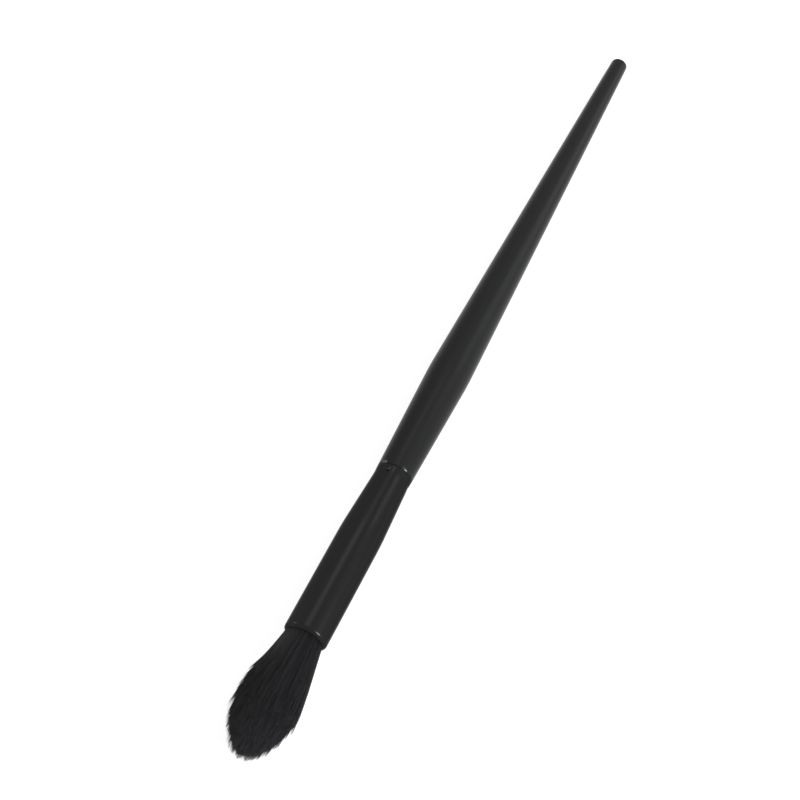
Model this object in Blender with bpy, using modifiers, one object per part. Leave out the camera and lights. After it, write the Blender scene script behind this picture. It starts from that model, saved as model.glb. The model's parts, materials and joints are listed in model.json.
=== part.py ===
"""Nose contour brush: a slim cosmetic brush with a candle-flame head of hair, a
swaged metal ferrule and a turned handle, lying on a table.

Each piece is modelled along its own +Z axis, with z = 0 at the ferrule's mouth, the
hair above it and the handle below. The empty brush_axis then lays the whole brush
down: +X runs towards the hair, +Z is up, and the hair's belly and the handle's swell
both touch z = 0. Lengths are in metres.
"""

import math
import random

import bmesh
import bpy
from mathutils import Matrix, Vector
from mathutils.geometry import delaunay_2d_cdt

# Clearances: between pieces that seat on each other, and round the films of glue
SEAT_GAP = 0.0003
GLUE_GAP = 0.0001

# Ferrule: a tube with a rolled lip at the mouth and a swaged neck at the handle
FERRULE_LENGTH = 0.03625
FERRULE_RADIUS = 0.0040
FERRULE_WALL = 0.0004
NECK_LENGTH = 0.0139
NECK_END_RADIUS = 0.00337
NECK_BLEND = 0.0018
LIP_LENGTH = 0.0009
LIP_ROLL_IN = 0.0001
LIP_EDGE = 0.00012
BEAD_LENGTH = 0.0006
BEAD_RISE = 0.00007
FERRULE_END_EDGE = 0.00008

# Handle: a slim double cone with a soft crest, a flat butt and a grooved tenon
HANDLE_LENGTH = 0.1209
SHOULDER_RADIUS = 0.00345
SHOULDER_EDGE = 0.00028
SWELL_RADIUS = 0.00412
SWELL_FROM_SHOULDER = 0.0246
SWELL_BLEND = 0.0022
BUTT_RADIUS = 0.00178
BUTT_EDGE = 0.00038
TENON_LENGTH = 0.0120
TENON_EDGE = 0.0004
TENON_GROOVES = 2
TENON_GROOVE_WIDTH = 0.0008
TENON_GROOVE_DEPTH = 0.0002

# Glue sleeve round the tenon
SLEEVE_WALL = 0.00025
SLEEVE_END_CLEARANCE = 0.0006

# Hair: the outline of the head, from the mouth to the tip
HAIR_LENGTH = 0.02335
TIP_TO_BELLY = 0.0096
BELLY_RADIUS = 0.00557
MOUTH_HAIR_GAP = 0.00005
TIP_ROUNDNESS = 1.72
WAIST_TURN = 0.8

# Strands of hair, each a three-sided tapered filament
STRAND_COUNT = 340
STRAND_SIDES = 3
ROOT_STRAND_RADIUS = 0.00012
WAIST_STRAND_RADIUS = 0.00016
BELLY_STRAND_RADIUS = 0.00020
TIP_STRAND_RADIUS = 0.00006
WAIST_SHARE = 0.26
BELLY_SHARE = 0.60
CLOSING_SHARE = 0.34
FRAY = 0.00045
FRAY_SEED = 7
# The head is rolled so that outer strands on both sides of its lowest line rest on the
# table, which keeps the brush from rolling
HEAD_ROLL_DEGREES = 47

# Bonded root of the hair, with a waist where the thread is wound
ROOT_DEPTH = 0.0008
ROOT_LENGTH = 0.0095
ROOT_STRAND_MARGIN = 0.00006
ROOT_EDGE = 0.0001
KNOT_FROM_ROOT_END = 0.0016
KNOT_BEVEL = 0.0004

# Binding thread: a close winding round the root's waist
THREAD_DIAMETER = 0.0004
THREAD_TURNS = 5

# Plug of epoxy behind the root
PLUG_LENGTH = 0.0042
PLUG_HOLLOW = 0.0006
PLUG_EDGE = 0.0003

# Fineness of the turned surfaces. The handle's sides are broad enough to rest on
TURN_STEPS = 40
HANDLE_TURN_STEPS = 28
SMALL_TURN_STEPS = 24
CORNER_STEPS = 4
CORNER_ROOM_SHARE = 0.75
MERGE_DISTANCE = 0.000001
HALVINGS = 40

# Places along the brush, from the ferrule's mouth at z = 0
neck_start = NECK_LENGTH - FERRULE_LENGTH
neck_end = -FERRULE_LENGTH
shoulder = neck_end - SEAT_GAP
butt = shoulder - HANDLE_LENGTH
tenon_top = shoulder + TENON_LENGTH
root_top = -ROOT_DEPTH
root_end = root_top - ROOT_LENGTH
plug_top = root_end - SEAT_GAP

# Radii that follow from the pieces around them
bore_radius = FERRULE_RADIUS - FERRULE_WALL
neck_bore_radius = NECK_END_RADIUS - FERRULE_WALL
lip_radius = bore_radius - LIP_ROLL_IN
tenon_radius = neck_bore_radius - GLUE_GAP - SLEEVE_WALL - GLUE_GAP
root_radius = bore_radius - SEAT_GAP
thread_inner_radius = root_radius - THREAD_DIAMETER
waist_radius = thread_inner_radius - SEAT_GAP
thread_length = THREAD_TURNS * THREAD_DIAMETER
mouth_hair_radius = lip_radius - MOUTH_HAIR_GAP


def clear_scene():
    for thing in list(bpy.data.objects):
        bpy.data.objects.remove(thing, do_unlink=True)


def finish(name, colour, roughness, metallic):
    """A plain material for one piece, with its colour in linear values."""
    material = bpy.data.materials.new(name)
    material.use_nodes = True
    shader = material.node_tree.nodes["Principled BSDF"]
    shader.inputs["Base Color"].default_value = (*colour, 1.0)
    shader.inputs["Roughness"].default_value = roughness
    shader.inputs["Metallic"].default_value = metallic
    return material


def softened(corners):
    """Turns corners (radius, z, reach before, reach after) into an outline whose
    corners are curves. A reach of zero keeps a corner sharp."""
    points = []
    last = len(corners) - 1
    for index, (radius, z, before, after) in enumerate(corners):
        corner = Vector((radius, z))
        if index in (0, last) or before == 0:
            points.append(corner)
            continue
        to_previous = Vector(corners[index - 1][:2]) - corner
        to_next = Vector(corners[index + 1][:2]) - corner
        room_before = to_previous.length * CORNER_ROOM_SHARE
        room_after = to_next.length * CORNER_ROOM_SHARE
        start = corner + to_previous.normalized() * min(before, room_before)
        end = corner + to_next.normalized() * min(after, room_after)
        for step in range(CORNER_STEPS + 1):
            t = step / CORNER_STEPS
            points.append(start * (1 - t) ** 2 + corner * 2 * t * (1 - t) + end * t**2)
    return points


def turned(name, outline, steps, material, parts, axis, closed=False):
    """Turns an outline of (radius, z) points round +Z into one solid piece."""
    edges = [(index, index + 1) for index in range(len(outline) - 1)]
    if closed:
        edges.append((len(outline) - 1, 0))
    mesh = bpy.data.meshes.new(name)
    mesh.from_pydata([(point.x, 0, point.y) for point in outline], edges, [])
    mesh.materials.append(material)
    piece = bpy.data.objects.new(name, mesh)
    screw = piece.modifiers.new("turn", "SCREW")
    screw.axis = "Z"
    screw.angle = math.tau
    screw.steps = steps
    screw.render_steps = steps
    screw.use_merge_vertices = True
    screw.merge_threshold = MERGE_DISTANCE
    screw.use_smooth_shade = True
    place(piece, parts, axis, math.pi / steps)
    return piece


def place(piece, parts, axis, roll):
    """Hangs a piece on the brush's axis, rolled so that a flat side faces down."""
    parts.objects.link(piece)
    piece.parent = axis
    piece.rotation_euler.z = roll


def neck_bore_at(z):
    """The bore's radius at a place in the ferrule's neck."""
    share = (z - neck_end) / NECK_LENGTH
    return neck_bore_radius + (bore_radius - neck_bore_radius) * share


def make_ferrule(parts, axis):
    bead_top = neck_end + BEAD_LENGTH
    bead_radius = NECK_END_RADIUS + BEAD_RISE
    inner_lip_end = -2 * LIP_LENGTH
    lip_face = FERRULE_RADIUS - lip_radius - LIP_EDGE
    corners = [
        (lip_radius, -LIP_LENGTH, 0, 0),
        (lip_radius, 0, LIP_EDGE, LIP_EDGE),
        (FERRULE_RADIUS, 0, lip_face, LIP_LENGTH),
        (FERRULE_RADIUS, neck_start, NECK_BLEND, NECK_BLEND),
        (NECK_END_RADIUS, bead_top + BEAD_LENGTH, BEAD_LENGTH, BEAD_LENGTH),
        (bead_radius, bead_top, BEAD_LENGTH, BEAD_LENGTH),
        (bead_radius, neck_end, FERRULE_END_EDGE, FERRULE_END_EDGE),
        (neck_bore_radius, neck_end, 0, 0),
        (bore_radius, neck_start, NECK_BLEND, NECK_BLEND),
        (bore_radius, inner_lip_end, 0, 0),
    ]
    black_anodised = finish("black_anodised_aluminium", (0.016, 0.016, 0.017), 0.4, 0.9)
    outline = softened(corners)
    turned("ferrule", outline, TURN_STEPS, black_anodised, parts, axis, closed=True)


def make_handle(parts, axis):
    groove_radius = tenon_radius - TENON_GROOVE_DEPTH
    groove_pitch = TENON_LENGTH / (TENON_GROOVES + 1)
    corners = [
        (0, tenon_top, 0, 0),
        (tenon_radius, tenon_top, TENON_EDGE, TENON_EDGE),
    ]
    for groove in range(TENON_GROOVES):
        top = tenon_top - groove_pitch * (groove + 1) + TENON_GROOVE_WIDTH / 2
        bottom = top - TENON_GROOVE_WIDTH
        corners += [
            (tenon_radius, top, 0, 0),
            (groove_radius, top - TENON_GROOVE_DEPTH, 0, 0),
            (groove_radius, bottom + TENON_GROOVE_DEPTH, 0, 0),
            (tenon_radius, bottom, 0, 0),
        ]
    corners += [
        (tenon_radius, shoulder, 0, 0),
        (SHOULDER_RADIUS, shoulder, SHOULDER_EDGE, SHOULDER_EDGE),
        (SWELL_RADIUS, shoulder - SWELL_FROM_SHOULDER, SWELL_BLEND, SWELL_BLEND),
        (BUTT_RADIUS, butt, BUTT_EDGE, BUTT_EDGE),
        (0, butt, 0, 0),
    ]
    black_lacquer = finish("black_lacquered_wood", (0.012, 0.012, 0.012), 0.42, 0.0)
    outline = softened(corners)
    return turned("handle", outline, HANDLE_TURN_STEPS, black_lacquer, parts, axis)


def make_tenon_glue(parts, axis):
    bottom = neck_end + SLEEVE_END_CLEARANCE
    top = tenon_top - SLEEVE_END_CLEARANCE
    inner_radius = tenon_radius + GLUE_GAP
    corners = [
        (inner_radius, top, 0, 0),
        (neck_bore_at(top) - GLUE_GAP, top, 0, 0),
        (neck_bore_at(bottom) - GLUE_GAP, bottom, 0, 0),
        (inner_radius, bottom, 0, 0),
    ]
    glue = finish("clear_amber_glue", (0.32, 0.22, 0.09), 0.35, 0.0)
    turned("tenon_glue", softened(corners), TURN_STEPS, glue, parts, axis, closed=True)


def make_root_glue(parts, axis):
    bottom = plug_top - PLUG_LENGTH
    corners = [
        (0, plug_top, 0, 0),
        (root_radius, plug_top, PLUG_EDGE, PLUG_EDGE),
        (root_radius, bottom, 0, 0),
        (root_radius / 2, bottom + PLUG_HOLLOW, PLUG_HOLLOW, PLUG_HOLLOW),
        (0, bottom + PLUG_HOLLOW, 0, 0),
    ]
    epoxy = finish("set_epoxy", (0.45, 0.38, 0.24), 0.3, 0.0)
    turned("root_glue", softened(corners), SMALL_TURN_STEPS, epoxy, parts, axis)


def make_knot_thread(parts, axis):
    """A close winding of thread, as one turned band with a rib for each turn."""
    knot_bottom = root_end + KNOT_FROM_ROOT_END
    outline = [Vector((thread_inner_radius, knot_bottom + thread_length))]
    for turn in reversed(range(THREAD_TURNS)):
        middle = knot_bottom + (turn + 0.5) * THREAD_DIAMETER
        crown = root_radius - THREAD_DIAMETER / 2
        for angle in (math.pi / 3, 0, -math.pi / 3):
            rise = THREAD_DIAMETER / 2 * math.cos(angle)
            drop = THREAD_DIAMETER / 2 * math.sin(angle)
            outline.append(Vector((crown + rise, middle + drop)))
    outline.append(Vector((thread_inner_radius, knot_bottom)))
    cotton = finish("waxed_cotton_thread", (0.62, 0.58, 0.50), 0.85, 0.0)
    turned("knot_thread", outline, SMALL_TURN_STEPS, cotton, parts, axis, closed=True)


def head_radius(z):
    """The radius of the head's outline at a place between the mouth and the tip."""
    from_tip = HAIR_LENGTH - z
    if from_tip < TIP_TO_BELLY:
        ahead = 1 - max(from_tip, 0) / TIP_TO_BELLY
        return BELLY_RADIUS * (1 - ahead**TIP_ROUNDNESS) ** (1 / TIP_ROUNDNESS)
    behind = min((from_tip - TIP_TO_BELLY) / (HAIR_LENGTH - TIP_TO_BELLY), 1)
    mouth_wave = math.cos(math.pi * WAIST_TURN)
    swell = (math.cos(math.pi * WAIST_TURN * behind) - mouth_wave) / (1 - mouth_wave)
    return mouth_hair_radius + (BELLY_RADIUS - mouth_hair_radius) * swell


def layer_radius(z):
    """The radius of the outermost layer of strands. It follows the outline up to the
    belly, and closes in more slowly than the outline after it, so that the strands end
    on the outline one after another."""
    belly = HAIR_LENGTH - TIP_TO_BELLY
    if z <= belly:
        return head_radius(z)
    return BELLY_RADIUS * (1 - CLOSING_SHARE * ((z - belly) / TIP_TO_BELLY) ** 2)


def strand_end(share):
    """Where a strand meets the outline: share is its distance from the axis at the
    root, from 0 in the middle to 1 at the edge."""
    low = HAIR_LENGTH - TIP_TO_BELLY
    high = HAIR_LENGTH
    for _ in range(HALVINGS):
        middle = (low + high) / 2
        if share * layer_radius(middle) < head_radius(middle):
            low = middle
        else:
            high = middle
    return low


def strand_stations(share, angle, fray):
    """The centre and radius of a strand at its waist, its belly and its tip."""
    end = strand_end(share) + fray
    stations = []
    for along, thickness in (
        (WAIST_SHARE, WAIST_STRAND_RADIUS),
        (BELLY_SHARE, BELLY_STRAND_RADIUS),
        (1, TIP_STRAND_RADIUS),
    ):
        z = end * along
        out = share * (layer_radius(min(z, HAIR_LENGTH)) - thickness)
        centre = Vector((out * math.cos(angle), out * math.sin(angle), z))
        stations.append((centre, thickness))
    return stations


def root_face(shares_and_angles, rim_radius, rim_points):
    """The top of the bonded root as a flat sheet of triangles, one of which is the
    foot of each strand. Returns the mesh and the feet in the strands' order."""
    places = []
    for point in range(rim_points):
        angle = math.tau * (point + 0.5) / rim_points
        places.append(Vector((math.cos(angle), math.sin(angle))) * rim_radius)
    rim = [(point, (point + 1) % rim_points) for point in range(rim_points)]
    reach = rim_radius - ROOT_STRAND_MARGIN - ROOT_STRAND_RADIUS
    corners = []
    for share, angle in shares_and_angles:
        centre = Vector((math.cos(angle), math.sin(angle))) * share * reach
        first = len(places)
        for side in range(STRAND_SIDES):
            turn = angle + math.tau * side / STRAND_SIDES
            spoke = Vector((math.cos(turn), math.sin(turn))) * ROOT_STRAND_RADIUS
            places.append(centre + spoke)
        corners.append(tuple(range(first, first + STRAND_SIDES)))
    points, _, faces, _, _, sources = delaunay_2d_cdt(
        places, rim, corners, 0, MERGE_DISTANCE / 10
    )
    sheet = bmesh.new()
    verts = [sheet.verts.new((point.x, point.y, root_top)) for point in points]
    feet = [None] * len(corners)
    for face, source in zip(faces, sources):
        made = sheet.faces.new([verts[index] for index in face])
        if source:
            feet[source[0]] = made
    return sheet, feet


def grow_strand(sheet, foot, stations):
    """Draws a foot out through its strand's stations."""
    for centre, thickness in stations:
        foot = bmesh.ops.extrude_discrete_faces(sheet, faces=[foot])["faces"][0]
        middle = foot.calc_center_median()
        width = (foot.verts[0].co - middle).length
        move = Matrix.Translation(centre) @ Matrix.Scale(thickness / width, 4)
        move = move @ Matrix.Translation(-middle)
        bmesh.ops.transform(sheet, matrix=move, verts=foot.verts)


def close_root(sheet, rim_edges):
    """Draws the rim down into the root's sides, waist and end, and fills the end."""
    knot_bottom = root_end + KNOT_FROM_ROOT_END
    knot_top = knot_bottom + thread_length
    stations = [
        (root_radius, root_top - ROOT_EDGE),
        (root_radius, knot_top + SEAT_GAP + KNOT_BEVEL),
        (waist_radius, knot_top + SEAT_GAP),
        (waist_radius, knot_bottom - SEAT_GAP),
        (root_radius, knot_bottom - SEAT_GAP - KNOT_BEVEL),
        (root_radius, root_end),
    ]
    for radius, z in stations:
        drawn = bmesh.ops.extrude_edge_only(sheet, edges=rim_edges)["geom"]
        rim_edges = [item for item in drawn if isinstance(item, bmesh.types.BMEdge)]
        for vert in [item for item in drawn if isinstance(item, bmesh.types.BMVert)]:
            flat = Vector((vert.co.x, vert.co.y)).normalized() * radius
            vert.co = (flat.x, flat.y, z)
        rim_edges = [edge for edge in rim_edges if len(edge.link_faces) == 1]
    bmesh.ops.contextual_create(sheet, geom=rim_edges)
    bmesh.ops.recalc_face_normals(sheet, faces=sheet.faces)


def make_hair_bundle(parts, axis):
    """Strands laid out in a sunflower pattern, so that they are evenly spaced."""
    dice = random.Random(FRAY_SEED)
    golden_angle = math.pi * (3 - math.sqrt(5))
    layout = []
    strands = []
    for index in range(STRAND_COUNT):
        share = math.sqrt((index + 0.5) / STRAND_COUNT)
        angle = index * golden_angle % math.tau
        fray = dice.uniform(-FRAY, FRAY / 2)
        layout.append((share, angle))
        strands.append(strand_stations(share, angle, fray))
    sheet, feet = root_face(layout, root_radius - ROOT_EDGE, SMALL_TURN_STEPS)
    rim_edges = [edge for edge in sheet.edges if len(edge.link_faces) == 1]
    for foot, stations in zip(feet, strands):
        grow_strand(sheet, foot, stations)
    close_root(sheet, rim_edges)
    mesh = bpy.data.meshes.new("hair_bundle")
    sheet.to_mesh(mesh)
    sheet.free()
    mesh.materials.append(finish("black_hair", (0.012, 0.012, 0.013), 0.6, 0.0))
    piece = bpy.data.objects.new("hair_bundle", mesh)
    place(piece, parts, axis, math.radians(HEAD_ROLL_DEGREES))
    return piece


def outer_points(piece):
    """The finished surface's points in the brush's own axes."""
    graph = bpy.context.evaluated_depsgraph_get()
    mesh = piece.evaluated_get(graph).to_mesh()
    turn = Matrix.Rotation(piece.rotation_euler.z, 4, "Z")
    points = [turn @ vert.co for vert in mesh.vertices]
    piece.evaluated_get(graph).to_mesh_clear()
    return points


def lay_down(axis, hair, handle):
    """Turns the axis so that hair and handle touch the table together, and moves the
    middle of the brush's length over the origin."""
    front = outer_points(hair)
    rear = outer_points(handle)
    level = math.pi / 2
    low = level - math.atan(BELLY_RADIUS / HAIR_LENGTH)
    high = level
    for _ in range(HALVINGS):
        lean = (low + high) / 2
        turn = Matrix.Rotation(lean, 3, "Y")
        if min((turn @ p).z for p in front) < min((turn @ p).z for p in rear):
            high = lean
        else:
            low = lean
    points = [turn @ point for point in front + rear]
    lowest = min(point.z for point in points)
    middle = (min(point.x for point in points) + max(point.x for point in points)) / 2
    axis.rotation_euler = (0, lean, 0)
    axis.location = (-middle, 0, -lowest)


def main():
    clear_scene()
    parts = bpy.data.collections.new("nose_contour_brush")
    bpy.context.scene.collection.children.link(parts)
    axis = bpy.data.objects.new("brush_axis", None)
    parts.objects.link(axis)
    make_ferrule(parts, axis)
    handle = make_handle(parts, axis)
    make_tenon_glue(parts, axis)
    make_root_glue(parts, axis)
    make_knot_thread(parts, axis)
    hair = make_hair_bundle(parts, axis)
    bpy.context.view_layer.update()
    lay_down(axis, hair, handle)


main()
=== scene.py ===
"""Nose contour brush: the looks.

A slim cosmetic brush lies on a pale table: a candle-flame head of black filaments, a
black swaged ferrule and a long black handle. The visible pieces are modelled again in
fine detail round the brush's own axis, with z = 0 at the ferrule's mouth, the hair
above it and the handle below, and are then laid down onto the solid part. Lengths
are in metres.
"""

import json
import math

import bpy
import numpy as np
from mathutils import Matrix, Vector


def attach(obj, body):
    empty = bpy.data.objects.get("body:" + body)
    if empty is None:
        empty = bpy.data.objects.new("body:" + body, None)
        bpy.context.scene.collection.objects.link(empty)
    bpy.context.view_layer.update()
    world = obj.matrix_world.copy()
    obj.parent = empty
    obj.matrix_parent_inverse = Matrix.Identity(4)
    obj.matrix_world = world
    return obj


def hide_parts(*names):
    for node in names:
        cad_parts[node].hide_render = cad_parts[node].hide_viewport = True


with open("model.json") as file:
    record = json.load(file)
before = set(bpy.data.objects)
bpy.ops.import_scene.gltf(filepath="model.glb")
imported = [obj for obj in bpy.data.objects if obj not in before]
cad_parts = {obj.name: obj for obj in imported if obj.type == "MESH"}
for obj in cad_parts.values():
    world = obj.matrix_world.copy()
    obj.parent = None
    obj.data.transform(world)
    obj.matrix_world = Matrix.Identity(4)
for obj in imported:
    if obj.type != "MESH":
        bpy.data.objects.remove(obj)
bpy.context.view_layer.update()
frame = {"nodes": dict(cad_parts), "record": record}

MM = 0.001

# Where pieces seat on each other
SEAT_GAP = 0.3 * MM
VISIBLE_JOINT_GAP = 0.05 * MM
ROUND_LIFT = 0.077 * MM

# Ferrule
FERRULE_LENGTH = 36.25 * MM
FERRULE_RADIUS = 4.04 * MM
FERRULE_WALL = 0.4 * MM
NECK_LENGTH = 13.9 * MM
NECK_END_RADIUS = 3.41 * MM
NECK_BLEND = 1.8 * MM
# The lip stands a little in front of the mouth, and slopes back to the tube.
LIP_LENGTH = 0.9 * MM
LIP_ROLL_IN = 0.07 * MM
LIP_EDGE = 0.04 * MM
LIP_FORWARD = 0.18 * MM
LIP_SLOPE_LENGTH = 0.43 * MM
LIP_SLOPE_BLEND = (0.28 * MM, 0.3 * MM)
BEAD_LENGTH = 0.6 * MM
BEAD_RISE = 0.07 * MM
FERRULE_END_EDGE = 0.07 * MM
DIMPLE_COUNT = 3
DIMPLE_FROM_END = 1.05 * MM
DIMPLE_RADIUS = 0.85 * MM
DIMPLE_DEPTH = 0.34 * MM
FIRST_DIMPLE_ANGLE = math.radians(-166)

# Handle
HANDLE_LENGTH = 120.9 * MM
SHOULDER_RADIUS = 3.49 * MM
SHOULDER_EDGE = 0.42 * MM
POOL_WIDTH = 0.32 * MM
POOL_FADE = 0.12 * MM
POOL_SIDE = 2.0 * MM
POOL_REACH = 0.55 * MM
POOL_CORE = POOL_REACH / 3
SWELL_RADIUS = 4.17 * MM
SWELL_FROM_SHOULDER = 24.6 * MM
SWELL_BLEND = 2.2 * MM
BUTT_RADIUS = 1.83 * MM
BUTT_EDGE = 0.38 * MM
TENON_LENGTH = 12.0 * MM
TENON_RADIUS = 2.52 * MM
TENON_EDGE = 0.4 * MM
TENON_GROOVES = 2
TENON_GROOVE_WIDTH = 0.8 * MM
TENON_GROOVE_DEPTH = 0.2 * MM

# Outline of the head of hair
HAIR_LENGTH = 23.35 * MM
TIP_TO_BELLY = 9.6 * MM
BELLY_RADIUS = 5.43 * MM
MOUTH_HAIR_RADIUS = 3.51 * MM
ROOT_HAIR_RADIUS = 3.3 * MM
TIP_ROUNDNESS = 1.72
WAIST_TURN = 0.8
CLOSING_SHARE = 0.34

# Filaments
FILAMENT_COUNT = 10500
FILAMENT_STATIONS = 8
STATION_CROWDING = 1.5
FILAMENT_TAPER_AT = (0, 0.6, 0.85, 1)
FILAMENT_TAPER = (0.036 * MM, 0.046 * MM, 0.036 * MM, 0.010 * MM)
POINT_LENGTH = 0.25 * MM
FILAMENT_FRAY = 0.16 * MM
LONGEST_FRAY = 5 * FILAMENT_FRAY
# Unrest is a share of the spacing, and sway and mixing are shares of the head's radius.
FILAMENT_UNREST = 0.4
FILAMENT_SWAY = 0.006
# A lateness is a power: the higher it is, the nearer to the tip a bend sets in.
FILAMENT_SWAY_LATENESS = 2
TIP_SHORTFALL = 0.4 * MM
TIP_SHORTFALL_FADE = 3
PRESSED_LAYER = 0.05 * MM
HAIR_SEED = 8

# Tufts of filaments
TUFT_COUNT = 1000
TUFT_UNREST = 0.9
TUFT_MIXING = 0.012
TUFT_SHORTFALL = 0.2 * MM
LONGEST_SHORTFALL = 3 * TUFT_SHORTFALL
TUFT_POINT_LENGTH = 2.0 * MM
TUFT_GATHER = (0.45, 0.75)
TUFT_GATHER_LATENESS = 1.3
# Proud tufts stand out of the head, the further the further out they lie.
PROUD_TUFT_SHARE = 0.14
PROUD_GATHER = (0.9, 1.0)
PROUD_REACH = (0.4 * MM, 1.2 * MM)
PROUD_REACH_AT_AXIS = 0.5
PROUD_REACH_GAIN = 0.9
PROUD_LIFT = 0.5 * MM
PROUD_LIFT_RANGE = (0.2, 1)
PROUD_LIFT_LATENESS = 1.5

# Wisps of a few filaments, and single strays
WISP_COUNT = 380
WISP_FILAMENTS = 4
WISP_NEAREST_AXIS = 0.02
WISP_REACH = (0.1 * MM, 1.3 * MM)
WISP_REACH_AT_AXIS = 0.6
WISP_REACH_GAIN = 0.4
WISP_LIFT = (0.05 * MM, 0.6 * MM)
WISP_LIFT_LATENESS = 6
# A wisp's spread and sway are angles round the brush, in radians.
WISP_SPREAD = 0.05
WISP_SWAY = 0.04
WISP_SWAY_LATENESS = 3
STRAY_COUNT = 600
BELLY_STRAY_SHARE = 0.35
BELLY_STRAY_REACH = (-6.0 * MM, 2.5 * MM)
BELLY_STRAY_SIDE = (math.radians(-105), 0.8)

# Bonded root of the hair, inside the ferrule
ROOT_DEPTH = 0.8 * MM
ROOT_LENGTH = 9.5 * MM
ROOT_RADIUS = 3.3 * MM
ROOT_WAIST_RADIUS = 2.6 * MM
KNOT_FROM_ROOT_END = 1.6 * MM
KNOT_LENGTH = 2.0 * MM
KNOT_BEVEL = 0.4 * MM

# Fineness
TURN_STEPS = 144
CORNER_STEPS = 9
CORNER_SHARE = 0.75
MERGE_DISTANCE = 0.001 * MM
SMOOTH_ANGLE = math.radians(35)
OUTLINE_HEIGHTS = 900
OUTLINE_PAST_TIP = 1.05 * HAIR_LENGTH
OUTLINE_SHARES = 400
OUTLINE_HALVINGS = 40
# So many filaments at a time are matched to their tufts.
MATCHED_AT_ONCE = 1000
# The golden angle, in half turns
GOLDEN_TURN = 3 - math.sqrt(5)

# Table, room, lamps and camera
TABLE_SIZE = 12.0
TABLE_GLOW = 0.81
ROOM_LIGHT = 0.45
ROOM_SEEN = 1.0
# Each lamp's name, azimuth and elevation in degrees, distance, width and height in
# metres, glow and colour.
LAMPS = (
    ("key_lamp", 84, 28, 1.0, 0.3, 0.3, 33, "#F6F9FF"),
    ("window", 141, 25, 1.0, 0.3, 0.7, 1.8, "#F4F8FF"),
    ("ceiling_panel", 192, 66, 1.2, 0.4, 0.34, 1.4, "#FFFFFF"),
    ("warm_lamp", -88, 24, 1.0, 0.2, 0.2, 10, "#FFF6EA"),
)
CAMERA_PLACE = (0.161966, 0.0615123, 0.2380712)
CAMERA_TILT = math.radians(34.684145)
CAMERA_TURN = math.radians(114.686737)
CAMERA_SENSOR = 36
CAMERA_LENS = 67.5

bore_radius = FERRULE_RADIUS - FERRULE_WALL
neck_bore_radius = NECK_END_RADIUS - FERRULE_WALL
lip_radius = bore_radius - LIP_ROLL_IN
neck_start = NECK_LENGTH - FERRULE_LENGTH
neck_end = -FERRULE_LENGTH
shoulder = neck_end - SEAT_GAP
butt = shoulder - HANDLE_LENGTH
seen_shoulder = neck_end - VISIBLE_JOINT_GAP
tenon_top = shoulder + TENON_LENGTH
root_top = -ROOT_DEPTH
root_end = root_top - ROOT_LENGTH
belly = HAIR_LENGTH - TIP_TO_BELLY

# The mount on the butt gives the brush's place and lean. The solid handle has narrow
# flats, and the round one here lies a little higher, on its full radius.
mount = frame["record"]["mounts"][0]
towards_hair = -Vector(mount["axis"]).normalized()
mouth = Vector(mount["pos_m"]) - towards_hair * butt
lean = math.atan2(towards_hair.x, towards_hair.z)
mouth_along = mouth.dot(towards_hair)
LAY_DOWN = Matrix.Translation(mouth + Vector((0, 0, ROUND_LIFT))) @ Matrix.Rotation(lean, 4, "Y")


# Materials


def colour(text):
    """An sRGB hex colour as linear values."""
    channels = [int(text[at : at + 2], 16) / 255 for at in (1, 3, 5)]
    linear = [c / 12.92 if c <= 0.04045 else ((c + 0.055) / 1.055) ** 2.4 for c in channels]
    return (*linear, 1.0)


def new_material(name):
    material = bpy.data.materials.new(name)
    material.use_nodes = True
    return material, material.node_tree, material.node_tree.nodes["Principled BSDF"]


def add_node(tree, kind, settings=None, values=None, links=None):
    """Adds one node: settings are its properties, values its sockets' numbers, and
    links its sockets' sources. A Mix node's colours are its sockets 6 and 7, and its
    mixed colour is its output 2."""
    node = tree.nodes.new(kind)
    for name, value in (settings or {}).items():
        setattr(node, name, value)
    for name, value in (values or {}).items():
        node.inputs[name].default_value = value
    for name, source in (links or {}).items():
        tree.links.new(source, node.inputs[name])
    return node


def along_the_brush(tree, stretch):
    """Object coordinates turned onto the brush's axis and squeezed along it."""
    place = add_node(tree, "ShaderNodeTexCoord")
    mapping = add_node(
        tree,
        "ShaderNodeMapping",
        values={"Rotation": (0, math.pi / 2 - lean, 0), "Scale": (1 / stretch, 1, 1)},
        links={"Vector": place.outputs["Object"]},
    )
    return mapping.outputs["Vector"]


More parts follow.
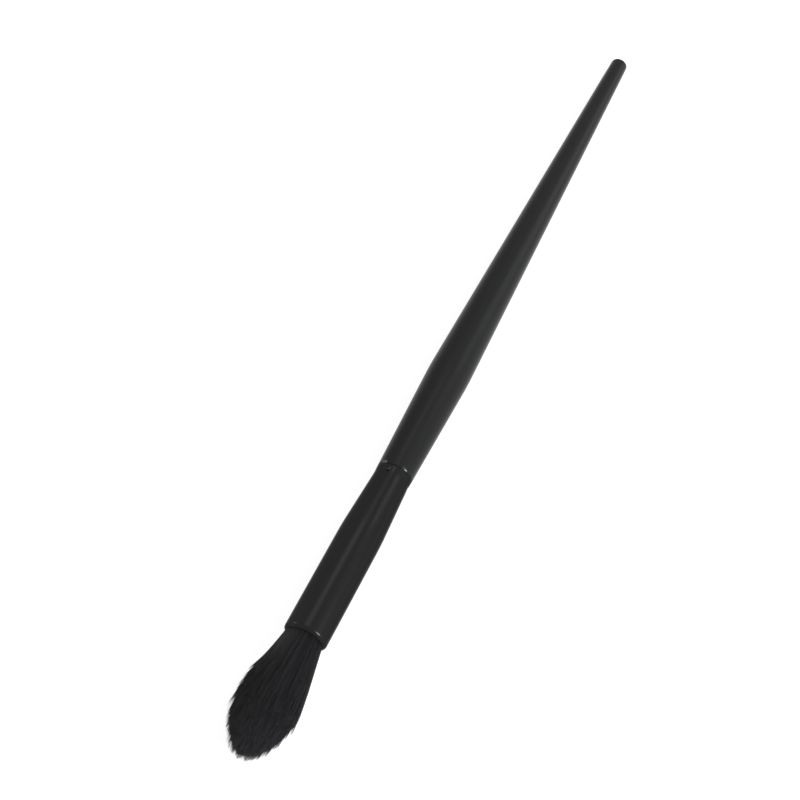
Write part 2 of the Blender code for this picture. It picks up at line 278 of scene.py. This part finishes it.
def black_anodised_aluminium():
    """Drawn aluminium tube, etched and anodised black: a dark satin metal sheen, with
    faint draw lines along the tube and a very fine etched grain. The real grain is too
    fine to show, and is drawn about three times as coarse."""
    material, tree, shader = new_material("black_anodised_aluminium")
    shader.inputs["Metallic"].default_value = 1.0
    shader.inputs["Specular Tint"].default_value = colour("#C0C0C0")
    draw_spacing = 0.25 * MM
    draw_stretch = 60
    etch_grain = 0.06 * MM
    lines = add_node(
        tree,
        "ShaderNodeTexNoise",
        values={"Scale": 1 / draw_spacing, "Detail": 3.0, "Roughness": 0.6},
        links={"Vector": along_the_brush(tree, draw_stretch)},
    )
    place = add_node(tree, "ShaderNodeTexCoord")
    grain = add_node(
        tree,
        "ShaderNodeTexNoise",
        values={"Scale": 1 / etch_grain, "Detail": 2.0},
        links={"Vector": place.outputs["Object"]},
    )
    tone = add_node(
        tree,
        "ShaderNodeMix",
        settings={"data_type": "RGBA"},
        values={6: colour("#262626"), 7: colour("#292929")},
        links={"Factor": lines.outputs["Fac"]},
    )
    tree.links.new(tone.outputs[2], shader.inputs["Base Color"])
    rough = add_node(
        tree,
        "ShaderNodeMapRange",
        values={"To Min": 0.24, "To Max": 0.29},
        links={"Value": grain.outputs["Fac"]},
    )
    tree.links.new(rough.outputs["Result"], shader.inputs["Roughness"])
    height = add_node(
        tree,
        "ShaderNodeMath",
        settings={"operation": "ADD"},
        links={0: lines.outputs["Fac"], 1: grain.outputs["Fac"]},
    )
    bump = add_node(
        tree,
        "ShaderNodeBump",
        values={"Strength": 0.05, "Distance": 0.01 * MM},
        links={"Height": height.outputs["Value"]},
    )
    tree.links.new(bump.outputs["Normal"], shader.inputs["Normal"])
    return material


def shoulder_pool(tree):
    """1 on short patches of the shoulder's edge, right and left of its top and of its
    underside, and 0 on the rest that shows."""
    along = add_node(
        tree,
        "ShaderNodeSeparateXYZ",
        links={"Vector": along_the_brush(tree, 1)},
    )
    pool_end = mouth_along + shoulder - POOL_WIDTH
    ring = add_node(
        tree,
        "ShaderNodeMapRange",
        values={"From Min": pool_end - POOL_FADE, "From Max": pool_end},
        links={"Value": along.outputs["X"]},
    )
    side = add_node(
        tree,
        "ShaderNodeMath",
        settings={"operation": "ABSOLUTE"},
        links={0: along.outputs["Y"]},
    )
    from_pool = add_node(
        tree,
        "ShaderNodeMath",
        settings={"operation": "SUBTRACT"},
        values={1: POOL_SIDE},
        links={0: side.outputs["Value"]},
    )
    off_pool = add_node(
        tree,
        "ShaderNodeMath",
        settings={"operation": "ABSOLUTE"},
        links={0: from_pool.outputs["Value"]},
    )
    patch = add_node(
        tree,
        "ShaderNodeMapRange",
        values={"From Min": POOL_CORE, "From Max": POOL_REACH, "To Min": 1.0, "To Max": 0.0},
        links={"Value": off_pool.outputs["Value"]},
    )
    pool = add_node(
        tree,
        "ShaderNodeMath",
        settings={"operation": "MULTIPLY"},
        links={0: ring.outputs["Result"], 1: patch.outputs["Result"]},
    )
    return pool.outputs["Value"]


def black_lacquered_beech():
    """Turned beech, dipped in black lacquer: a smooth satin coat that follows the
    faint long pores of the wood and has a slight orange peel. On both sides of the
    shoulder's edge the lacquer has pooled, and is glossier. The real pores are too
    fine to show, and are drawn several times as wide."""
    material, tree, shader = new_material("black_lacquered_beech")
    pore_width = 0.35 * MM
    pore_stretch = 14
    pore_relief = 0.35
    peel_width = 0.9 * MM
    pores = add_node(
        tree,
        "ShaderNodeTexNoise",
        values={"Scale": 1 / pore_width, "Detail": 3.0, "Roughness": 0.55},
        links={"Vector": along_the_brush(tree, pore_stretch)},
    )
    place = add_node(tree, "ShaderNodeTexCoord")
    peel = add_node(
        tree,
        "ShaderNodeTexNoise",
        values={"Scale": 1 / peel_width, "Detail": 1.0},
        links={"Vector": place.outputs["Object"]},
    )
    tone = add_node(
        tree,
        "ShaderNodeMix",
        settings={"data_type": "RGBA"},
        values={6: colour("#212121"), 7: colour("#282828")},
        links={"Factor": pores.outputs["Fac"]},
    )
    tree.links.new(tone.outputs[2], shader.inputs["Base Color"])
    rough = add_node(
        tree,
        "ShaderNodeMapRange",
        values={"To Min": 0.21, "To Max": 0.25},
        links={"Value": peel.outputs["Fac"]},
    )
    tree.links.new(rough.outputs["Result"], shader.inputs["Roughness"])
    shader.inputs["Specular IOR Level"].default_value = 0.07
    tree.links.new(shoulder_pool(tree), shader.inputs["Coat Weight"])
    shader.inputs["Coat Roughness"].default_value = 0.12
    height = add_node(
        tree,
        "ShaderNodeMath",
        settings={"operation": "MULTIPLY_ADD"},
        values={1: pore_relief},
        links={0: pores.outputs["Fac"], 2: peel.outputs["Fac"]},
    )
    bump = add_node(
        tree,
        "ShaderNodeBump",
        values={"Strength": 0.06, "Distance": 0.02 * MM},
        links={"Height": height.outputs["Value"]},
    )
    tree.links.new(bump.outputs["Normal"], shader.inputs["Normal"])
    return material


def black_filament():
    """Dyed black PBT filament: solid black all through, with a soft waxy sheen. It
    differs a little from tuft to tuft. Towards the tips its colour is painted lighter:
    partly the frayed tips' own greyness, partly painted light that lifts the shade
    among the tips."""
    material, tree, shader = new_material("black_pbt_filament")
    tuft_width = 0.5 * MM
    tuft_stretch = 8
    tuft_variation = 0.2
    tip_grey_and_painted_light = 0.95
    grey_and_painted_light_lateness = 2.5
    shade = add_node(
        tree,
        "ShaderNodeTexNoise",
        values={"Scale": 1 / tuft_width, "Detail": 2.0},
        links={"Vector": along_the_brush(tree, tuft_stretch)},
    )
    along = add_node(
        tree,
        "ShaderNodeSeparateXYZ",
        links={"Vector": along_the_brush(tree, 1)},
    )
    # Painted light: the colour grows lighter towards the tip. This is partly the frayed tips'
    # own grey, and partly painted light that lifts the shade among them.
    tip_along = mouth_along + HAIR_LENGTH
    towards_tip = add_node(
        tree,
        "ShaderNodeMapRange",
        values={"From Min": mouth_along, "From Max": tip_along, "To Max": tip_grey_and_painted_light},
        links={"Value": along.outputs["X"]},
    )
    near_tip = add_node(
        tree,
        "ShaderNodeMath",
        settings={"operation": "POWER"},
        values={1: grey_and_painted_light_lateness},
        links={0: towards_tip.outputs["Result"]},
    )
    tone_and_painted_light = add_node(
        tree,
        "ShaderNodeMath",
        settings={"operation": "MULTIPLY_ADD"},
        values={1: tuft_variation},
        links={0: shade.outputs["Fac"], 2: near_tip.outputs["Value"]},
    )
    tone = add_node(
        tree,
        "ShaderNodeMix",
        settings={"data_type": "RGBA"},
        values={6: colour("#171718"), 7: colour("#4A4A4C")},
        links={"Factor": tone_and_painted_light.outputs["Value"]},
    )
    tree.links.new(tone.outputs[2], shader.inputs["Base Color"])
    shader.inputs["Roughness"].default_value = 0.7
    shader.inputs["Specular IOR Level"].default_value = 0.15
    return material


def bonded_root():
    """Filament ends soaked in black epoxy and set hard."""
    material, tree, shader = new_material("epoxy_bonded_filament_root")
    filament_width = 0.1 * MM
    filament_stretch = 20
    filaments = add_node(
        tree,
        "ShaderNodeTexNoise",
        values={"Scale": 1 / filament_width},
        links={"Vector": along_the_brush(tree, filament_stretch)},
    )
    shader.inputs["Base Color"].default_value = colour("#141414")
    shader.inputs["Roughness"].default_value = 0.4
    bump = add_node(
        tree,
        "ShaderNodeBump",
        values={"Strength": 0.5, "Distance": 0.03 * MM},
        links={"Height": filaments.outputs["Fac"]},
    )
    tree.links.new(bump.outputs["Normal"], shader.inputs["Normal"])
    return material


def set_glue(name, light, dark, roughness, cell):
    """Set glue: an amber or straw solid with cloudy patches and a slight sheen."""
    material, tree, shader = new_material(name)
    place = add_node(tree, "ShaderNodeTexCoord")
    clouds = add_node(
        tree,
        "ShaderNodeTexNoise",
        values={"Scale": 1 / cell, "Detail": 4.0},
        links={"Vector": place.outputs["Object"]},
    )
    tone = add_node(
        tree,
        "ShaderNodeMix",
        settings={"data_type": "RGBA"},
        values={6: colour(dark), 7: colour(light)},
        links={"Factor": clouds.outputs["Fac"]},
    )
    tree.links.new(tone.outputs[2], shader.inputs["Base Color"])
    shader.inputs["Roughness"].default_value = roughness
    shader.inputs["IOR"].default_value = 1.55
    bump = add_node(
        tree,
        "ShaderNodeBump",
        values={"Strength": 0.2, "Distance": 0.05 * MM},
        links={"Height": clouds.outputs["Fac"]},
    )
    tree.links.new(bump.outputs["Normal"], shader.inputs["Normal"])
    return material


def waxed_cotton():
    """Waxed cotton thread: off-white, matt, with the twist of its plies."""
    material, tree, shader = new_material("waxed_cotton_thread")
    ply_width = 0.2 * MM
    place = add_node(tree, "ShaderNodeTexCoord")
    plies = add_node(
        tree,
        "ShaderNodeTexWave",
        settings={"bands_direction": "DIAGONAL"},
        values={"Scale": 1 / (ply_width * math.tau), "Distortion": 1.0, "Detail": 2.0},
        links={"Vector": place.outputs["Object"]},
    )
    tone = add_node(
        tree,
        "ShaderNodeMix",
        settings={"data_type": "RGBA"},
        values={6: colour("#BDB6A6"), 7: colour("#DAD5C8")},
        links={"Factor": plies.outputs["Fac"]},
    )
    tree.links.new(tone.outputs[2], shader.inputs["Base Color"])
    shader.inputs["Roughness"].default_value = 0.85
    bump = add_node(
        tree,
        "ShaderNodeBump",
        values={"Strength": 0.4, "Distance": 0.05 * MM},
        links={"Height": plies.outputs["Fac"]},
    )
    tree.links.new(bump.outputs["Normal"], shader.inputs["Normal"])
    return material


def seen_or_mirrored(tree, ray):
    """1 for what the camera sees directly, in a reflection or through glass, else 0."""
    mirrored = add_node(
        tree,
        "ShaderNodeMath",
        settings={"operation": "MAXIMUM"},
        links={0: ray.outputs["Is Glossy Ray"], 1: ray.outputs["Is Transmission Ray"]},
    )
    seen = add_node(
        tree,
        "ShaderNodeMath",
        settings={"operation": "MAXIMUM"},
        links={0: ray.outputs["Is Camera Ray"], 1: mirrored.outputs["Value"]},
    )
    return seen.outputs["Value"]


def white_table():
    """A matt white table top. To the camera and in reflections it shows as paper
    white, and it keeps the brush's shadow."""
    material, tree, shader = new_material("matt_white_table")
    grain_width = 0.4 * MM
    place = add_node(tree, "ShaderNodeTexCoord")
    grain = add_node(
        tree,
        "ShaderNodeTexNoise",
        values={"Scale": 1 / grain_width, "Detail": 2.0},
        links={"Vector": place.outputs["Object"]},
    )
    bump = add_node(
        tree,
        "ShaderNodeBump",
        values={"Strength": 0.02, "Distance": 0.05 * MM},
        links={"Height": grain.outputs["Fac"]},
    )
    tree.links.new(bump.outputs["Normal"], shader.inputs["Normal"])
    shader.inputs["Base Color"].default_value = colour("#B0B0B0")
    shader.inputs["Roughness"].default_value = 0.9
    shader.inputs["Specular IOR Level"].default_value = 0.0
    shader.inputs["Emission Color"].default_value = colour("#FFFFFF")
    ray = add_node(tree, "ShaderNodeLightPath")
    glow = add_node(
        tree,
        "ShaderNodeMapRange",
        values={"To Max": TABLE_GLOW},
        links={"Value": seen_or_mirrored(tree, ray)},
    )
    tree.links.new(glow.outputs["Result"], shader.inputs["Emission Strength"])
    return material


# Turned pieces


def softened(corners):
    """Turns corners (radius, z, reach before, reach after) into an outline whose
    corners are curves. A reach of zero keeps a corner sharp, and none takes up more
    than a fixed share of its edge."""
    points = []
    last = len(corners) - 1
    for index, (radius, z, before, after) in enumerate(corners):
        corner = Vector((radius, z))
        if index in (0, last) or before == 0:
            points.append(corner)
            continue
        to_previous = Vector(corners[index - 1][:2]) - corner
        to_next = Vector(corners[index + 1][:2]) - corner
        before = min(before, to_previous.length * CORNER_SHARE)
        after = min(after, to_next.length * CORNER_SHARE)
        start = corner + to_previous.normalized() * before
        end = corner + to_next.normalized() * after
        for step in range(CORNER_STEPS + 1):
            t = step / CORNER_STEPS
            points.append(start * (1 - t) ** 2 + corner * 2 * t * (1 - t) + end * t**2)
    return points


def lay_down(piece):
    """Puts a piece that was modelled upright onto the brush's lying axis."""
    piece.data.transform(LAY_DOWN)
    piece.data.update()


def press_on_table(piece):
    """Presses what would reach into the table into a thin layer on its top."""
    for vert in piece.data.vertices:
        if vert.co.z < PRESSED_LAYER:
            vert.co.z = PRESSED_LAYER * math.exp(vert.co.z / PRESSED_LAYER - 1)
    piece.data.update()


def turned(name, outline, steps, material, closed=False):
    """Draws the outline point by point from one vertex, and spins it round +Z."""
    bpy.ops.object.select_all(action="DESELECT")
    bpy.ops.mesh.primitive_plane_add(size=FERRULE_RADIUS, location=(0, 0, 0))
    piece = bpy.context.object
    piece.name = name
    piece.data.name = name
    bpy.ops.object.mode_set(mode="EDIT")
    bpy.ops.mesh.select_all(action="SELECT")
    bpy.ops.mesh.merge(type="CENTER")
    bpy.ops.transform.translate(value=(outline[0].x, 0, outline[0].y))
    for previous, point in zip(outline, outline[1:]):
        step = (point.x - previous.x, 0, point.y - previous.y)
        bpy.ops.mesh.extrude_region_move(TRANSFORM_OT_translate={"value": step})
    if closed:
        step = (outline[0].x - outline[-1].x, 0, outline[0].y - outline[-1].y)
        bpy.ops.mesh.extrude_region_move(TRANSFORM_OT_translate={"value": step})
    bpy.ops.mesh.select_all(action="SELECT")
    bpy.ops.mesh.spin(steps=steps, angle=math.tau, center=(0, 0, 0), axis=(0, 0, 1))
    bpy.ops.mesh.select_all(action="SELECT")
    bpy.ops.mesh.remove_doubles(threshold=MERGE_DISTANCE)
    bpy.ops.mesh.normals_make_consistent(inside=False)
    bpy.ops.object.mode_set(mode="OBJECT")
    bpy.ops.object.shade_smooth_by_angle(angle=SMOOTH_ANGLE)
    piece.data.materials.append(material)
    return piece


def punch_dimples(piece):
    """Presses the small dimples into the ferrule's end that crimp it to the tenon."""
    height = neck_end + DIMPLE_FROM_END
    middle_of_wall = neck_bore_radius + FERRULE_WALL / 2
    for number in range(DIMPLE_COUNT):
        angle = FIRST_DIMPLE_ANGLE + math.tau * number / DIMPLE_COUNT
        inwards = Vector((-math.cos(angle), -math.sin(angle), 0))
        centre = Vector((0, 0, height)) - inwards * NECK_END_RADIUS
        for vert in piece.data.vertices:
            distance = (vert.co - centre).length
            if distance < DIMPLE_RADIUS and vert.co.xy.length > middle_of_wall:
                depth = 0.5 + 0.5 * math.cos(math.pi * distance / DIMPLE_RADIUS)
                vert.co += inwards * DIMPLE_DEPTH * depth
    piece.data.update()


def make_ferrule():
    bead_top = neck_end + BEAD_LENGTH
    bead_radius = NECK_END_RADIUS + BEAD_RISE
    corners = [
        (lip_radius, -LIP_LENGTH, 0, 0),
        (lip_radius, LIP_FORWARD, LIP_EDGE, LIP_EDGE),
        (FERRULE_RADIUS, LIP_FORWARD - LIP_SLOPE_LENGTH, *LIP_SLOPE_BLEND),
        (FERRULE_RADIUS, neck_start, NECK_BLEND, NECK_BLEND),
        (NECK_END_RADIUS, bead_top + BEAD_LENGTH, BEAD_LENGTH, BEAD_LENGTH),
        (bead_radius, bead_top, BEAD_LENGTH, BEAD_LENGTH),
        (bead_radius, neck_end, FERRULE_END_EDGE, FERRULE_END_EDGE),
        (neck_bore_radius, neck_end, 0, 0),
        (bore_radius, neck_start, NECK_BLEND, NECK_BLEND),
        (bore_radius, -2 * LIP_LENGTH, 0, 0),
    ]
    material = black_anodised_aluminium()
    piece = turned("swaged_ferrule", softened(corners), TURN_STEPS, material, closed=True)
    punch_dimples(piece)
    lay_down(piece)
    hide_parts("ferrule")
    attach(piece, "root")


def make_handle():
    groove_radius = TENON_RADIUS - TENON_GROOVE_DEPTH
    groove_pitch = TENON_LENGTH / (TENON_GROOVES + 1)
    corners = [
        (0, tenon_top, 0, 0),
        (TENON_RADIUS, tenon_top, TENON_EDGE, TENON_EDGE),
    ]
    for groove in range(TENON_GROOVES):
        top = tenon_top - groove_pitch * (groove + 1) + TENON_GROOVE_WIDTH / 2
        bottom = top - TENON_GROOVE_WIDTH
        corners += [
            (TENON_RADIUS, top, 0, 0),
            (groove_radius, top - TENON_GROOVE_DEPTH, 0, 0),
            (groove_radius, bottom + TENON_GROOVE_DEPTH, 0, 0),
            (TENON_RADIUS, bottom, 0, 0),
        ]
    corners += [
        (TENON_RADIUS, seen_shoulder, 0, 0),
        (SHOULDER_RADIUS, seen_shoulder, SHOULDER_EDGE, SHOULDER_EDGE),
        (SWELL_RADIUS, shoulder - SWELL_FROM_SHOULDER, SWELL_BLEND, SWELL_BLEND),
        (BUTT_RADIUS, butt, BUTT_EDGE, BUTT_EDGE),
        (0, butt, 0, 0),
    ]
    piece = turned("lacquered_handle", softened(corners), TURN_STEPS, black_lacquered_beech())
    lay_down(piece)
    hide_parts("handle")
    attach(piece, "root")


def make_bonded_root():
    knot_bottom = root_end + KNOT_FROM_ROOT_END
    knot_top = knot_bottom + KNOT_LENGTH
    corners = [
        (0, root_top, 0, 0),
        (ROOT_RADIUS, root_top, KNOT_BEVEL, KNOT_BEVEL),
        (ROOT_RADIUS, knot_top + SEAT_GAP + KNOT_BEVEL, 0, 0),
        (ROOT_WAIST_RADIUS, knot_top + SEAT_GAP, 0, 0),
        (ROOT_WAIST_RADIUS, knot_bottom - SEAT_GAP, 0, 0),
        (ROOT_RADIUS, knot_bottom - SEAT_GAP - KNOT_BEVEL, 0, 0),
        (ROOT_RADIUS, root_end, KNOT_BEVEL, KNOT_BEVEL),
        (0, root_end, 0, 0),
    ]
    piece = turned("bonded_hair_root", softened(corners), TURN_STEPS // 2, bonded_root())
    lay_down(piece)
    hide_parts("hair_bundle")
    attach(piece, "root")


# Hair


def head_radius(z):
    """The radius of the head's outline at a place between the mouth and the tip."""
    from_tip = HAIR_LENGTH - z
    if from_tip < TIP_TO_BELLY:
        ahead = 1 - max(from_tip, 0) / TIP_TO_BELLY
        return BELLY_RADIUS * (1 - ahead**TIP_ROUNDNESS) ** (1 / TIP_ROUNDNESS)
    behind = min((from_tip - TIP_TO_BELLY) / belly, 1)
    mouth_wave = math.cos(math.pi * WAIST_TURN)
    swell = (math.cos(math.pi * WAIST_TURN * behind) - mouth_wave) / (1 - mouth_wave)
    return MOUTH_HAIR_RADIUS + (BELLY_RADIUS - MOUTH_HAIR_RADIUS) * swell


def layer_radius(z):
    """The radius of the outermost layer of filaments. After the belly it closes in
    more slowly than the outline, so that filaments end on the outline one by one."""
    if z <= 0:
        return MOUTH_HAIR_RADIUS - (MOUTH_HAIR_RADIUS - ROOT_HAIR_RADIUS) * (z / ROOT_DEPTH) ** 2
    if z <= belly:
        return head_radius(z)
    return BELLY_RADIUS * (1 - CLOSING_SHARE * ((z - belly) / TIP_TO_BELLY) ** 2)


def outline_tables():
    """The layer's radius by height, and each filament's end by its share of it, where
    it meets the head's outline. The innermost ones end a little short of it."""
    heights = np.linspace(root_top, OUTLINE_PAST_TIP, OUTLINE_HEIGHTS)
    layers = np.array([layer_radius(min(z, HAIR_LENGTH)) for z in heights])
    shares = np.linspace(0, 1, OUTLINE_SHARES)
    ends = []
    for share in shares:
        low = belly
        high = HAIR_LENGTH
        for _ in range(OUTLINE_HALVINGS):
            middle = (low + high) / 2
            if share * layer_radius(middle) < head_radius(middle):
                low = middle
            else:
                high = middle
        ends.append(low - TIP_SHORTFALL * (1 - share**TIP_SHORTFALL_FADE))
    return heights, layers, shares, np.array(ends)


def one_filament():
    """One filament: a small triangle drawn up in steps to a point. Returns
    its corners as (x, y, station) and its faces."""
    bpy.ops.object.select_all(action="DESELECT")
    bpy.ops.mesh.primitive_circle_add(vertices=3, radius=1, fill_type="NGON")
    filament = bpy.context.object
    bpy.ops.object.mode_set(mode="EDIT")
    bpy.ops.mesh.select_all(action="SELECT")
    for _ in range(FILAMENT_STATIONS):
        bpy.ops.mesh.extrude_region_move(TRANSFORM_OT_translate={"value": (0, 0, 1)})
    bpy.ops.mesh.merge(type="CENTER")
    bpy.ops.mesh.select_all(action="SELECT")
    bpy.ops.mesh.normals_make_consistent(inside=False)
    bpy.ops.mesh.quads_convert_to_tris()
    bpy.ops.object.mode_set(mode="OBJECT")
    corners = np.array([vert.co for vert in filament.data.vertices])
    faces = np.array([list(face.vertices) for face in filament.data.polygons])
    bpy.data.objects.remove(filament, do_unlink=True)
    return corners, faces


def sunflower(count, unrest, dice):
    """Even places over a disc, as a sunflower's seeds have them, a little unrested:
    each one's share of the radius, and its place on a disc of radius 1."""
    index = np.arange(count)
    shares = np.sqrt((index + 0.5) / count)
    unrested = dice.normal(0, unrest, count) / np.sqrt(index + 1)
    angles = index * math.pi * GOLDEN_TURN + unrested
    return shares, np.stack([shares * np.cos(angles), shares * np.sin(angles)], 1)


def stations(ends):
    """Heights of the stations along filaments, closer together towards their ends,
    and how far along a filament each station is, from 0 to 1."""
    steps = 1 - (1 - np.linspace(0, 1, FILAMENT_STATIONS)) ** STATION_CROWDING
    return root_top + (ends - root_top)[:, None] * steps, steps


def filament_paths(dice):
    """The centre line of every filament: stations along it, in metres, with z = 0 at
    the mouth. Towards their tips the filaments gather into tufts. Most tufts end a
    little short of the head's outline, and the others stand proud of it as points.
    Also returns how far out each filament lies, from 0 to 1."""
    heights, layers, share_steps, end_steps = outline_tables()
    shares, flat = sunflower(FILAMENT_COUNT, FILAMENT_UNREST, dice)
    tuft_shares, tuft_flat = sunflower(TUFT_COUNT, TUFT_UNREST, dice)
    strayed = flat + dice.normal(0, TUFT_MIXING, flat.shape)
    nearest = np.empty(FILAMENT_COUNT, int)
    for first in range(0, FILAMENT_COUNT, MATCHED_AT_ONCE):
        gap = strayed[first : first + MATCHED_AT_ONCE, None] - tuft_flat[None]
        nearest[first : first + MATCHED_AT_ONCE] = (gap**2).sum(2).argmin(1)
    tuft_ends = np.interp(tuft_shares, share_steps, end_steps)
    proud = dice.uniform(0, 1, TUFT_COUNT) < PROUD_TUFT_SHARE
    reach = dice.uniform(*PROUD_REACH, TUFT_COUNT)
    reach *= PROUD_REACH_AT_AXIS + PROUD_REACH_GAIN * tuft_shares
    shortfall = dice.exponential(TUFT_SHORTFALL, TUFT_COUNT).clip(0, LONGEST_SHORTFALL)
    tuft_ends += np.where(proud, reach, -shortfall)
    tuft_lift = proud * dice.uniform(*PROUD_LIFT_RANGE, TUFT_COUNT) * PROUD_LIFT * tuft_shares
    fray = dice.exponential(FILAMENT_FRAY, FILAMENT_COUNT).clip(0, LONGEST_FRAY)
    ends = tuft_ends[nearest] - fray
    z, steps = stations(ends)
    late = (1 - (ends[:, None] - z) / TUFT_POINT_LENGTH).clip(0, 1)
    proud_gather = dice.uniform(*PROUD_GATHER, TUFT_COUNT)
    tuft_gather = dice.uniform(*TUFT_GATHER, TUFT_COUNT)
    pull = np.where(proud, proud_gather, tuft_gather)[nearest]
    gather = (pull[:, None] * late**TUFT_GATHER_LATENESS)[..., None]
    centre = flat[:, None] * (1 - gather) + tuft_flat[nearest][:, None] * gather
    sway = dice.normal(0, FILAMENT_SWAY, (FILAMENT_COUNT, 2))
    centre = centre + sway[:, None] * (steps**FILAMENT_SWAY_LATENESS)[:, None]
    lift = tuft_lift[nearest][:, None] * late**PROUD_LIFT_LATENESS
    out = np.interp(z, heights, layers) + lift
    paths = np.empty((FILAMENT_COUNT, FILAMENT_STATIONS, 3))
    paths[..., :2] = centre * out[..., None]
    paths[..., 2] = z
    return paths, shares


def stray_paths(dice):
    """The centre lines of wisps of a few filaments, and of single ones, whose ends
    stand out of the head from its belly to its tip. Those that end before the belly
    stand on one side of the head."""
    heights, layers, share_steps, end_steps = outline_tables()
    in_wisps = np.arange(WISP_COUNT).repeat(WISP_FILAMENTS)
    wisp = np.append(in_wisps, WISP_COUNT + np.arange(STRAY_COUNT))
    count = WISP_COUNT + STRAY_COUNT
    shares = np.sqrt(dice.uniform(WISP_NEAREST_AXIS, 1, count))
    on_belly = dice.uniform(0, 1, count) < BELLY_STRAY_SHARE
    shares[on_belly] = 1.0
    angles = dice.uniform(0, math.tau, count)
    reach = dice.uniform(*WISP_REACH, count)
    reach *= WISP_REACH_AT_AXIS + WISP_REACH_GAIN * shares
    wisp_ends = np.interp(shares, share_steps, end_steps) + reach
    from_belly = on_belly * dice.uniform(*BELLY_STRAY_REACH, count)
    wisp_ends += from_belly
    angles = np.where(from_belly < 0, dice.normal(*BELLY_STRAY_SIDE, count), angles)
    wisp_lift = dice.uniform(*WISP_LIFT, count)
    ends = wisp_ends[wisp] - dice.exponential(FILAMENT_FRAY, len(wisp))
    z, steps = stations(ends)
    lift = wisp_lift[wisp][:, None] * steps**WISP_LIFT_LATENESS
    out = shares[wisp][:, None] * (np.interp(z, heights, layers) + lift)
    spread = dice.normal(0, WISP_SPREAD, len(wisp))[:, None] * (1 - steps)
    sway = dice.normal(0, WISP_SWAY, count)[wisp][:, None] * steps**WISP_SWAY_LATENESS
    angle = angles[wisp][:, None] + spread + sway
    return np.stack([out * np.cos(angle), out * np.sin(angle), z], 2)


def bend_copies(name, paths, material):
    """Copies the one filament along every path, each copy bent and tapered, as one
    piece."""
    template, faces = one_filament()
    count = len(paths)
    station = np.round(template[:, 2]).astype(int)
    _, steps = stations(np.array([HAIR_LENGTH]))
    thickness = np.interp(steps, FILAMENT_TAPER_AT, FILAMENT_TAPER)
    tangent = np.gradient(paths, axis=1)
    tangent /= np.linalg.norm(tangent, axis=2, keepdims=True)
    side = np.cross(tangent, np.array([0.0, 1.0, 0.0]))
    side /= np.linalg.norm(side, axis=2, keepdims=True)
    other = np.cross(tangent, side)
    points = np.empty((count, len(template), 3))
    for corner, (x, y, _) in enumerate(template):
        at = min(station[corner], FILAMENT_STATIONS - 1)
        points[:, corner] = paths[:, at] + (side[:, at] * x + other[:, at] * y) * thickness[at]
        if station[corner] == FILAMENT_STATIONS:
            points[:, corner] = paths[:, at] + tangent[:, at] * POINT_LENGTH
    all_faces = faces + (np.arange(count) * len(template))[:, None, None]
    mesh = bpy.data.meshes.new(name)
    mesh.from_pydata(points.reshape(-1, 3).tolist(), [], all_faces.reshape(-1, 3).tolist())
    mesh.materials.append(material)
    mesh.polygons.foreach_set("use_smooth", [True] * len(mesh.polygons))
    mesh.update()
    piece = bpy.data.objects.new(name, mesh)
    bpy.context.scene.collection.objects.link(piece)
    lay_down(piece)
    press_on_table(piece)
    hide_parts("hair_bundle")
    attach(piece, "root")


def make_hair():
    material = black_filament()
    dice = np.random.default_rng(HAIR_SEED)
    paths, shares = filament_paths(dice)
    names = ("hair_core", "hair_middle", "hair_outer")
    from_axis_out = np.array_split(np.argsort(shares), len(names))
    for name, chosen in zip(names, from_axis_out):
        bend_copies(name, paths[chosen], material)
    bend_copies("hair_strays", stray_paths(dice), material)


def dress_hidden_nodes():
    """The pieces inside the ferrule keep their solids' shape and get their finish."""
    epoxy = set_glue("set_epoxy", "#C9B58C", "#A8905F", roughness=0.3, cell=1.2 * MM)
    wood_glue = set_glue("set_wood_glue", "#B89048", "#946C2B", roughness=0.35, cell=0.8 * MM)
    finishes = {"knot_thread": waxed_cotton(), "root_glue": epoxy, "tenon_glue": wood_glue}
    for node, material in finishes.items():
        frame["nodes"][node].material_slots[0].material = material


# Table, lights and camera


def make_table():
    bpy.ops.object.select_all(action="DESELECT")
    bpy.ops.mesh.primitive_plane_add(size=TABLE_SIZE, location=(0, 0, 0))
    table = bpy.context.object
    table.name = "table_top"
    table.data.materials.append(white_table())


def world_light():
    """A pale room, which shows as white to the camera and in reflections."""
    world = bpy.data.worlds.new("pale_room")
    bpy.context.scene.world = world
    world.use_nodes = True
    tree = world.node_tree
    ray = add_node(tree, "ShaderNodeLightPath")
    strength = add_node(
        tree,
        "ShaderNodeMapRange",
        values={"To Min": ROOM_LIGHT, "To Max": ROOM_SEEN},
        links={"Value": seen_or_mirrored(tree, ray)},
    )
    room = tree.nodes["Background"]
    room.inputs["Color"].default_value = colour("#FFFFFF")
    tree.links.new(strength.outputs["Result"], room.inputs["Strength"])


def softbox(name, azimuth, elevation, distance, width, height, glow, tone):
    """A soft lamp that looks at the brush. glow is its brightness, where 1 is white."""
    light = bpy.data.lights.new(name, "AREA")
    light.shape = "RECTANGLE"
    light.size = width
    light.size_y = height
    light.energy = glow * math.pi * width * height
    light.color = colour(tone)[:3]
    lamp = bpy.data.objects.new(name, light)
    bpy.context.scene.collection.objects.link(lamp)
    around = Matrix.Rotation(math.radians(azimuth), 4, "Z")
    upwards = Matrix.Rotation(math.radians(-elevation), 4, "Y")
    lamp.location = around @ upwards @ Vector((distance, 0, 0))
    lamp.rotation_euler = lamp.location.to_track_quat("Z", "Y").to_euler()
    lamp.visible_camera = False


def add_camera():
    camera = bpy.data.cameras.new("photo_camera")
    camera.sensor_width = CAMERA_SENSOR
    camera.lens = CAMERA_LENS
    view = bpy.data.objects.new("photo_camera", camera)
    bpy.context.scene.collection.objects.link(view)
    view.location = CAMERA_PLACE
    view.rotation_euler = (CAMERA_TILT, 0, CAMERA_TURN)
    bpy.context.scene.camera = view


make_ferrule()
make_handle()
make_bonded_root()
make_hair()
dress_hidden_nodes()
make_table()
world_light()
for lamp in LAMPS:
    softbox(*lamp)
add_camera()
bpy.context.scene.view_settings.view_transform = "Standard"
